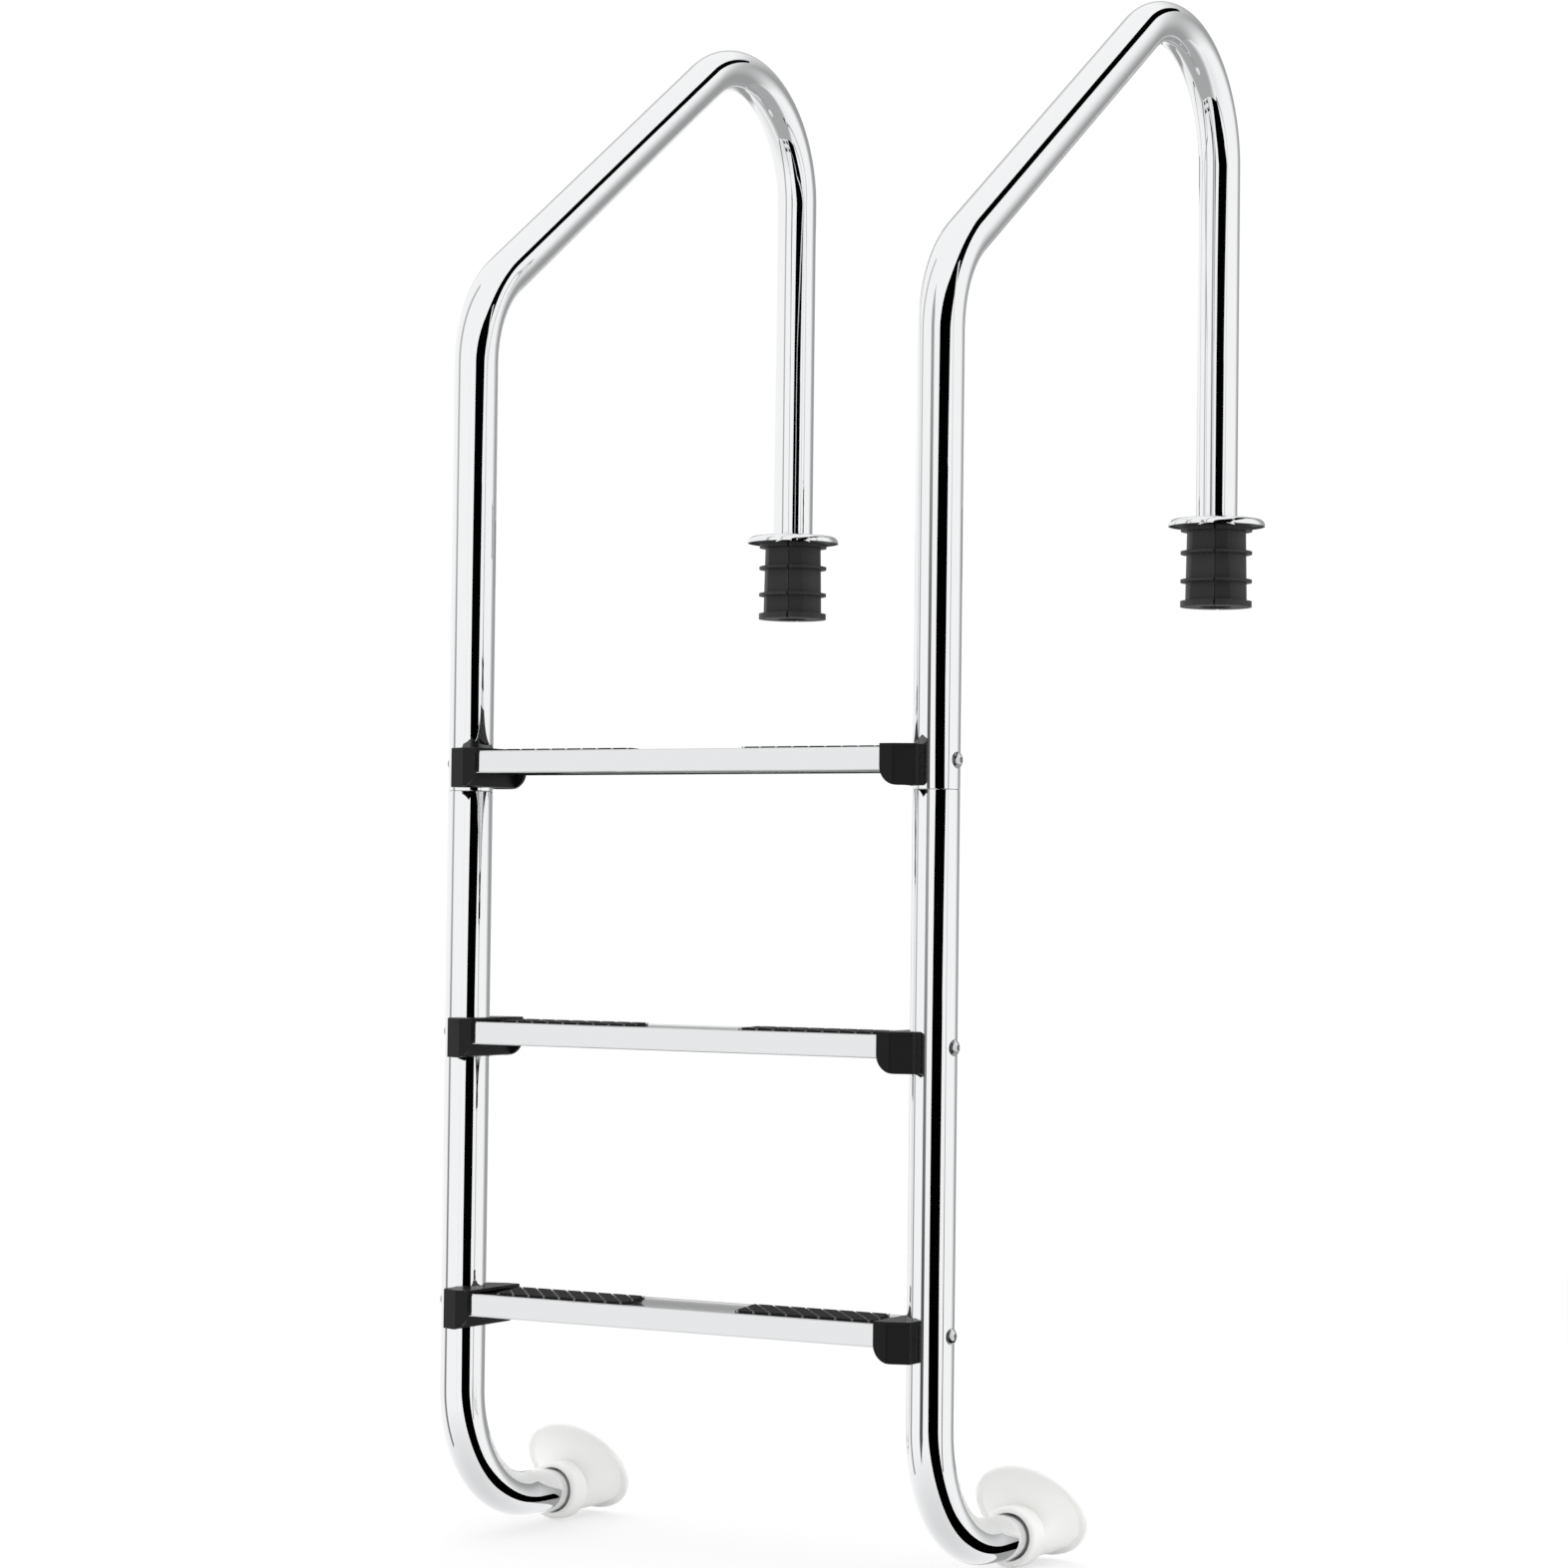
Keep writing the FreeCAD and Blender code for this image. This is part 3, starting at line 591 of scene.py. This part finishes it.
# %% Bumpers
for side in SIDES:
    foot, foot_heading = feet[side]
    heading = foot_heading - 360
    forward = heading_vector(heading)
    mouth_normal = heading_vector(MOUTH_TILT)
    bore = sizes[side]["tube"] + BORE_GAP
    entry = foot - forward * GRIP
    collar_end = entry + forward * COLLAR_LENGTH
    mouth = foot + Vector((0, MOUTH_FORWARD, MOUTH_RISE))
    lip_back = mouth - mouth_normal * LIP_THICKNESS
    lip_root = MOUTH_RADIUS - LIP_OVERHANG
    rings = [
        (foot + forward * SEAT_GAP, heading, bore),
        (entry + forward * LEAD_IN_DEPTH, heading, bore),
        (entry, heading, bore + LEAD_IN),
    ]
    rings += rounded_edge(entry, heading, COLLAR_RADIUS, COLLAR_FRONT_EDGE)
    rings += rounded_edge(collar_end, heading, COLLAR_RADIUS, COLLAR_BACK_EDGE, closing=True)
    rings.append((collar_end, heading, NECK_RADIUS))
    rings += bell_rings(
        (foot, heading, NECK_RADIUS), (lip_back + mouth_normal * LIP_EDGE / 2, MOUTH_TILT, lip_root))
    rings += rounded_edge(lip_back, MOUTH_TILT, MOUTH_RADIUS, LIP_EDGE)
    rings += rounded_edge(mouth, MOUTH_TILT, MOUTH_RADIUS, LIP_EDGE, closing=True)
    rings += bell_rings(
        (mouth, MOUTH_TILT, lip_root - BUMPER_WALL),
        (foot + forward * BUMPER_WALL, heading, NECK_RADIUS - BUMPER_WALL))
    bumper = ringed("bumper_" + side + ".moulded", rings, close_start=True, close_end=True)
    smooth(bumper, 35)
    dress(bumper, bumper_rubber, "bumper_" + side, "bumper_" + side)

# %% [markdown]
# End caps, anchors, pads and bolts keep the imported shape, which is already right. A merged copy gets the
# small radius that a real edge has: without it an edge never catches the light. The nuts and the joint
# sleeves are hidden in use, so they stay as they were packed and only get their finish.

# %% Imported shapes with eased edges
PACKED_MERGE = 0.002 * MM
FLAT_WITHIN = 0.5
CAP_EDGE = 0.4 * MM
ANCHOR_EDGE = 0.3 * MM
BOLT_EDGE = 0.25 * MM


def eased_copy(node, suffix, edge, angle=40):
    """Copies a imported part, joins its loose triangles into flat faces and rounds its edges."""
    copy = frame["nodes"][node].copy()
    copy.data = frame["nodes"][node].data.copy()
    copy.name = node + suffix
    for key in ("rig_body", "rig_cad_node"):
        del copy[key]
    copy.parent = None
    bpy.context.scene.collection.objects.link(copy)
    edit(copy)
    bpy.ops.mesh.remove_doubles(threshold=PACKED_MERGE)
    bpy.ops.mesh.dissolve_limited(angle_limit=math.radians(FLAT_WITHIN))
    bpy.ops.object.mode_set(mode="OBJECT")
    add_bevel(copy, "ease", edge, segments=2, angle=angle)
    apply_modifiers(copy)
    smooth(copy, 30)
    flats = copy.modifiers.new("flats", "WEIGHTED_NORMAL")
    flats.keep_sharp = True
    apply_modifiers(copy)
    return copy


def finish_packed(node, material):
    """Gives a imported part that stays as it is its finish."""
    materials = frame["nodes"][node].data.materials
    materials.clear()
    materials.append(material)
    print(node, "stays as packed, in", material.name)


for tread in TREADS:
    for side in SIDES:
        node = "end_cap_" + tread + "_" + side
        dress(eased_copy(node, ".moulded", CAP_EDGE), cap_plastic, "ladder", node)
for side in SIDES:
    for half in ("_a", "_b"):
        node = "anchor_" + side + half
        dress(eased_copy(node, ".moulded", ANCHOR_EDGE), anchor_plastic, "ladder", node)
    finish_packed("joint_sleeve_" + side, sleeve_steel)
bolts = eased_copy("tread_bolts", ".turned", BOLT_EDGE, angle=35)
dress(bolts, bolt_steel, "ladder", "tread_bolts")
finish_packed("tread_nuts", bolt_steel)

# %% [markdown]
# Grip pads. The ribs between the grooves are matte. The grooves are smooth and painted a lighter grey, a
# painted highlight where they catch the light, so they get a material of their own. A groove's floor looks
# up from below the pad's top, and its sides look along the one line that is square to the groove.

# %% Grip pads
PAD_EDGE = 0.3 * MM
GROOVE_ANGLE = math.radians(38.5)
GROOVE_NORMAL = Vector((math.cos(GROOVE_ANGLE), math.sin(GROOVE_ANGLE), 0))
GROOVE_DEPTH_LEAST = 1 * MM
STEEP = 0.3
SQUARE_ON = 0.97
FACING_UP = 0.99

for tread in TREADS:
    for side in SIDES:
        node = "grip_pad_" + tread + "_" + side
        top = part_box(node)[1].z
        pad = eased_copy(node, ".moulded", PAD_EDGE)
        dress(pad, pad_rubber, "ladder", node)
        # The grooves' floors and sides take the smoother material with the painted highlight.
        pad.data.materials.append(groove_rubber_painted_highlight)
        for face in pad.data.polygons:
            flat = Vector((face.normal.x, face.normal.y, 0))
            is_side = flat.length > STEEP and abs(flat.normalized().dot(GROOVE_NORMAL)) > SQUARE_ON
            is_floor = face.normal.z > FACING_UP and face.center.z < top - GROOVE_DEPTH_LEAST
            if is_side or is_floor:
                face.material_index = 1

# %% [markdown]
# A tread is one strip of sheet with four folds along each edge: up out of the recess that holds the pads,
# level to the rim, down the front and in to the lip. It starts as the floor of the recess, and each fold
# is an extrusion of a long edge. Bevel rounds the folds and Solidify gives the sheet its thickness.

# %% Folding helper
SHEET = 1.5 * MM
RECESS_DEPTH = 1.0 * MM
RECESS_RIM = 6.0 * MM
TREAD_LIP = 8.0 * MM
FOLD_RADIUS = 2.0 * MM
CREASE_WIDTH = 0.5 * MM


def extrude_long_edges(strip, centre_y, steps):
    """Extrudes both long edges of a strip outwards through (dy, dz) steps, mirrored about the middle."""
    for sign in (-1, 1):
        bpy.ops.object.mode_set(mode="OBJECT")
        vertices = strip.data.vertices
        edge_y = max(abs(v.co.y - centre_y) for v in vertices if (v.co.y - centre_y) * sign > 0)
        for vertex in vertices:
            vertex.select = abs((vertex.co.y - centre_y) * sign - edge_y) < MERGE_DISTANCE
        for edge in strip.data.edges:
            edge.select = all(vertices[v].select for v in edge.vertices)
        for face in strip.data.polygons:
            face.select = False
        bpy.ops.object.mode_set(mode="EDIT")
        for dy, dz in steps:
            bpy.ops.mesh.extrude_region_move(TRANSFORM_OT_translate={"value": (0, sign * dy, dz)})


print("sheet", SHEET / MM, "mm, folds of", FOLD_RADIUS / MM, "mm radius")

# %% Treads
for tread in TREADS:
    node = "tread_" + tread
    low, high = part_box(node)
    middle = (low + high) / 2
    half_depth = (high.y - low.y) / 2
    floor_half = half_depth - RECESS_RIM - RECESS_DEPTH
    deselect_all()
    bpy.ops.mesh.primitive_plane_add(size=1, location=(middle.x, middle.y, high.z - RECESS_DEPTH))
    strip = bpy.context.object
    strip.name = node + ".folded"
    strip.scale = (high.x - low.x, 2 * floor_half, 1)
    bpy.ops.object.transform_apply(location=True, rotation=True, scale=True)
    extrude_long_edges(strip, middle.y, [
        (RECESS_DEPTH, RECESS_DEPTH),
        (RECESS_RIM, 0),
        (0, low.z - high.z),
        (-TREAD_LIP, 0),
    ])
    close_and_orient(strip)
    add_bevel(strip, "folds", FOLD_RADIUS, segments=5, angle=60)
    add_bevel(strip, "creases", CREASE_WIDTH, segments=3, angle=40)
    add_wall(strip, SHEET)
    apply_modifiers(strip)
    smooth(strip, 35)
    dress(strip, tread_steel, "ladder", node)

# %% [markdown]
# The studio is a white room. Near the ladder the floor is a real surface that takes its shadow, and
# further out it fades into the white of the room, so that no horizon cuts through the picture. The white
# is a glow that only the camera sees, and it adds no light to the ladder.

# %% Floor
FLOOR_DROP = 1 * MM
FLOOR_SIZE = 40.0
SHADOW_REACH = 2.6
FLOOR_GLOW = 0.6
FADE_START = 0.6
WHITE = (1, 1, 1, 1)

floor_z = cad_box[0][2] - FLOOR_DROP
deselect_all()
bpy.ops.mesh.primitive_plane_add(size=FLOOR_SIZE, location=(0, 0, floor_z))
floor = bpy.context.object
floor.name = "floor"
floor_material, tree, shader = new_material(
    "matte white studio floor", Roughness=0.9, Base_Color=linear("#f6f6f6"))
white = add_node(tree, "ShaderNodeEmission", values={"Color": WHITE, "Strength": 1.0})
nearness = add_node(
    tree, "ShaderNodeMapping", links={"Vector": object_position(tree)},
    values={"Scale": (1 / SHADOW_REACH, 1 / SHADOW_REACH, 1 / SHADOW_REACH)})
disc = add_node(
    tree, "ShaderNodeTexGradient", settings={"gradient_type": "SPHERICAL"},
    links={"Vector": nearness.outputs["Vector"]})
glow = add_node(
    tree, "ShaderNodeMapRange", settings={"interpolation_type": "SMOOTHSTEP"},
    links={"Value": disc.outputs["Fac"]},
    values={"From Min": 0.0, "From Max": FADE_START, "To Min": 1.0, "To Max": FLOOR_GLOW})
seen = add_node(tree, "ShaderNodeLightPath")
share = add_node(
    tree, "ShaderNodeMath", settings={"operation": "MULTIPLY"},
    links={0: seen.outputs["Is Camera Ray"], 1: glow.outputs["Result"]})
mixed = add_node(
    tree, "ShaderNodeMixShader",
    links={"Fac": share.outputs["Value"], 1: shader.outputs["BSDF"], 2: white.outputs["Emission"]})
tree.links.new(mixed.outputs["Shader"], tree.nodes["Material Output"].inputs["Surface"])
floor.data.materials.append(floor_material)
floor.visible_glossy = False
print("floor at", round(floor_z, 4))

# %% [markdown]
# The room itself is the world. It lights the ladder from all sides, and the camera sees it as plain white.
# Mirrors see it too, instead of the floor's surface, and for them it darkens a little towards straight
# below.

# %% World
ROOM_LIGHT = 1.1
FLOOR_REFLECTION = 0.75
STRAIGHT_DOWN = -1.0
FLOOR_FADES_OUT = -0.35

world = bpy.data.worlds.new("white studio")
bpy.context.scene.world = world
world.use_nodes = True
tree = world.node_tree
background = tree.nodes["Background"]
seen = add_node(tree, "ShaderNodeLightPath")
direction = add_node(
    tree, "ShaderNodeSeparateXYZ",
    links={"Vector": add_node(tree, "ShaderNodeTexCoord").outputs["Generated"]})
from_below = add_node(
    tree, "ShaderNodeMapRange", links={"Value": direction.outputs["Z"]},
    values={
        "From Min": STRAIGHT_DOWN, "From Max": FLOOR_FADES_OUT,
        "To Min": FLOOR_REFLECTION, "To Max": 1.0,
    })
for_gloss = add_node(
    tree, "ShaderNodeMapRange",
    links={"Value": seen.outputs["Is Glossy Ray"], "To Max": from_below.outputs["Result"]},
    values={"To Min": ROOM_LIGHT})
direct = add_node(
    tree, "ShaderNodeMath", settings={"operation": "MAXIMUM"},
    links={0: seen.outputs["Is Camera Ray"], 1: seen.outputs["Is Transmission Ray"]})
level = add_node(
    tree, "ShaderNodeMapRange",
    links={"Value": direct.outputs["Value"], "To Min": for_gloss.outputs["Result"]},
    values={"To Max": 1.0})
tree.links.new(level.outputs["Result"], background.inputs["Strength"])
background.inputs["Color"].default_value = WHITE
print("room light", ROOM_LIGHT)

# %% [markdown]
# Two soft lamps shape the rubber and the plastic. The metal doesn't mirror them: polished tube shows only
# what stands round it, and bare lamps would print hard rectangles on it.

# %% Lamps
LADDER_MIDDLE = Vector((0, -0.3, -0.25))


def add_lamp(name, place, size, watts):
    """A rectangular lamp that looks at the ladder's middle and that no mirror sees."""
    data = bpy.data.lights.new(name, "AREA")
    data.shape = "RECTANGLE"
    data.size, data.size_y = size
    data.energy = watts
    lamp = bpy.data.objects.new(name, data)
    bpy.context.scene.collection.objects.link(lamp)
    lamp.location = place
    lamp.rotation_euler = (LADDER_MIDDLE - Vector(place)).to_track_quat("-Z", "Y").to_euler()
    lamp.visible_glossy = False
    print("lamp", name, watts, "W")


add_lamp("overhead", place=(0.3, -1.0, 3.2), size=(3.0, 3.0), watts=22)
add_lamp("left side", place=(-3.4, -2.2, 0.8), size=(2.0, 3.0), watts=14)

# %% [markdown]
# What draws a chrome tube is what it reflects. Product photographers hang black and grey flags in a white
# tent, and each flag becomes a line along the tube. An image of a studio would do the same, but real
# shapes can be moved one by one. A flag here is a sheet whose glow is a grey below the room's white,
# softened at its sides. Only reflections see it, so it neither shades the ladder nor shows in the picture.

# %% Flag cloth
GRAZING_FROM = 0.45
GRAZING_TO = 0.7


def flag_material(name, greys, span, soft, one_sided):
    """Glow from one grey to another between two heights; soft is how much of the width fades to white."""
    material, tree, _ = new_material(name)
    heights = add_node(tree, "ShaderNodeSeparateXYZ", links={"Vector": object_position(tree)})
    grey = add_node(
        tree, "ShaderNodeMapRange", settings={"interpolation_type": "SMOOTHSTEP"},
        links={"Value": heights.outputs["Z"]},
        values={"From Min": span[0], "From Max": span[1], "To Min": greys[0], "To Max": greys[1]})
    strength = grey.outputs["Result"]
    if soft:
        sides = add_node(
            tree, "ShaderNodeSeparateXYZ",
            links={"Vector": add_node(tree, "ShaderNodeTexCoord").outputs["UV"]})
        offset = add_node(
            tree, "ShaderNodeMath", settings={"operation": "SUBTRACT"},
            links={0: sides.outputs["X"]}, values={1: 0.5})
        off_middle = add_node(
            tree, "ShaderNodeMath", settings={"operation": "ABSOLUTE"}, links={0: offset.outputs["Value"]})
        fade = add_node(
            tree, "ShaderNodeMapRange", settings={"interpolation_type": "SMOOTHSTEP"},
            links={"Value": off_middle.outputs["Value"], "To Min": strength},
            values={"From Min": 0.5 - soft / 2, "From Max": 0.5, "To Max": 1.0})
        strength = fade.outputs["Result"]
    glow = add_node(tree, "ShaderNodeEmission", values={"Color": WHITE}, links={"Strength": strength})
    surface = glow.outputs["Emission"]
    if one_sided:
        surface = seen_from_the_front(tree, surface)
    tree.links.new(surface, tree.nodes["Material Output"].inputs["Surface"])
    return material


def seen_from_the_front(tree, surface):
    """Clear from behind and at grazing angles, as through the slats of a lighting grid."""
    back = add_node(tree, "ShaderNodeNewGeometry").outputs["Backfacing"]
    slant = add_node(tree, "ShaderNodeLayerWeight", values={"Blend": 0.5})
    grazing = add_node(
        tree, "ShaderNodeMapRange", settings={"interpolation_type": "SMOOTHSTEP"},
        links={"Value": slant.outputs["Facing"]}, values={"From Min": GRAZING_FROM, "From Max": GRAZING_TO})
    unseen = add_node(
        tree, "ShaderNodeMath", settings={"operation": "MAXIMUM"},
        links={0: back, 1: grazing.outputs["Result"]})
    clear = add_node(tree, "ShaderNodeBsdfTransparent").outputs["BSDF"]
    mixed = add_node(
        tree, "ShaderNodeMixShader", links={"Fac": unseen.outputs["Value"], 1: surface, 2: clear})
    return mixed.outputs["Shader"]


def hang(flag, name, greys, span=(-1, 1), soft=0.0, one_sided=False):
    flag.name = name
    flag.data.materials.append(flag_material(name + " cloth", greys, span, soft, one_sided))
    for ray in ("camera", "diffuse", "shadow", "transmission", "volume_scatter"):
        setattr(flag, "visible_" + ray, False)
    print("hung", name, "with greys", greys)


# %% [markdown]
# The long black flag is a bent arm. Upright it draws the dark line on the upright tubes, and its two ends
# curve away above and below to carry that line on round the knees and the feet. Each of its knots lies in
# a direction that the bend there mirrors, and its half angle is half the width of the line.

# %% Black arm
ARM_ROUNDING = 8
EYE_HIGH = (0, -0.35, 0.35)
EYE_MIDDLE = (0, -0.4, -0.25)
EYE_LOW = (0, -0.5, -0.95)


def add_arm(name, knots, grey):
    """A bent round arm: each knot is a point it is seen from, a direction, a distance and a half angle."""
    deselect_all()
    bpy.ops.curve.primitive_nurbs_path_add()
    arm = bpy.context.object
    bpy.ops.object.transform_apply(location=True, rotation=True, scale=True)
    arm.data.splines.clear()
    spline = arm.data.splines.new("NURBS")
    spline.points.add(len(knots) - 1)
    for point, (eye, direction, distance, half_angle) in zip(spline.points, knots):
        place = Vector(eye) + Vector(direction).normalized() * distance
        point.co = (*place, 1)
        point.radius = distance * math.sin(math.radians(half_angle))
    spline.order_u = 3
    spline.use_endpoint_u = True
    arm.data.bevel_depth = 1
    arm.data.bevel_resolution = ARM_ROUNDING
    hang(arm, name, (grey, grey))


add_arm("black arm", [
    (EYE_LOW, (0.30, 0.92, -0.27), 3.0, 7.5),
    (EYE_LOW, (0.39, 0.86, -0.34), 3.0, 8),
    (EYE_LOW, (0.60, 0.58, -0.56), 3.0, 9),
    (EYE_LOW, (0.70, 0.17, -0.70), 3.0, 12),
    (EYE_LOW, (0.76, -0.45, -0.42), 3.0, 16),
    (EYE_LOW, (0.69, -0.72, 0.0), 3.0, 22),
    (EYE_MIDDLE, (0.69, -0.72, 0.0), 3.0, 22),
    (EYE_HIGH, (0.71, -0.70, 0.1), 3.0, 21),
    (EYE_HIGH, (0.80, -0.25, 0.42), 3.0, 12),
    (EYE_HIGH, (0.68, 0.22, 0.66), 3.0, 8),
    (EYE_HIGH, (0.45, 0.46, 0.76), 3.2, 7),
    (EYE_HIGH, (0.34, 0.64, 0.69), 3.2, 6),
    (EYE_HIGH, (0.25, 0.78, 0.58), 3.2, 4.5),
    (EYE_HIGH, (0.21, 0.82, 0.52), 3.2, 3),
], 0.0)

# %% [markdown]
# The other flags are flat. Two narrow ones and a stand that turns its edge to the ladder draw the grey
# lines beside the black one. Large walls behind the ladder, with a header over the left one, give the
# crests and the tubes' edges their soft grey.

# %% Flat flags


def add_flag(name, azimuth, distance, width, low, high, greys, span, soft, turned=0):
    """A flat flag at an azimuth from the front towards the right; it faces the ladder unless turned."""
    turn_angle = math.radians(azimuth)
    deselect_all()
    bpy.ops.mesh.primitive_plane_add(
        size=1, rotation=(math.radians(90), 0, turn_angle + math.radians(turned)),
        location=(
            LADDER_MIDDLE.x + distance * math.sin(turn_angle),
            LADDER_MIDDLE.y - distance * math.cos(turn_angle),
            (low + high) / 2))
    flag = bpy.context.object
    flag.scale = (width, high - low, 1)
    bpy.ops.object.transform_apply(location=True, rotation=True, scale=True)
    hang(flag, name, greys, span, soft)


add_flag("edge-on stand", -3, 2.4, 2.0, -1.6, 1.2, (0.09, 0.4), (-1.0, 0.6), 0.0, turned=96)
add_flag("right stand", 80, 1.9, 0.17, -1.6, 1.6, (0.08, 0.75), (-1.1, 0.3), 0.5)
add_flag("left flag", -56, 1.2, 0.34, -1.6, 1.6, (0.2, 0.5), (-1.0, 0.3), 0.8)
add_flag("back wall", 176, 3.0, 5.0, -3.0, 3.4, (0.36, 0.95), (1.3, 3.4), 0.75)
add_flag("back left wall", -150, 3.0, 2.4, -1.4, 0.8, (0.36, 1.0), (-0.3, 0.7), 0.5)
add_flag("back left header", -150, 2.9, 3.4, 0.85, 3.2, (0.38, 1.0), (1.1, 3.1), 0.4)

# %% [markdown]
# A grey card lies low behind the ladder and keeps the arm's foot out of the crests' reflection. It shows
# only from above, so that the feet and the rails look through it.

# %% Grey card
CARD_PLACE = (0.2, 0.8, -0.72)
CARD_WIDTH = 2.4
CARD_DEPTH = 2.8
CARD_GREY = 0.42
CARD_SOFT = 0.5

deselect_all()
bpy.ops.mesh.primitive_plane_add(size=1, location=CARD_PLACE)
card = bpy.context.object
card.scale = (CARD_WIDTH, CARD_DEPTH, 1)
bpy.ops.object.transform_apply(location=True, rotation=True, scale=True)
hang(card, "grey card", (CARD_GREY, CARD_GREY), soft=CARD_SOFT, one_sided=True)

# %% [markdown]
# Standard view transform, so that each colour renders as it is written.

# %% Finish
bpy.context.scene.view_settings.view_transform = "Standard"
deselect_all()
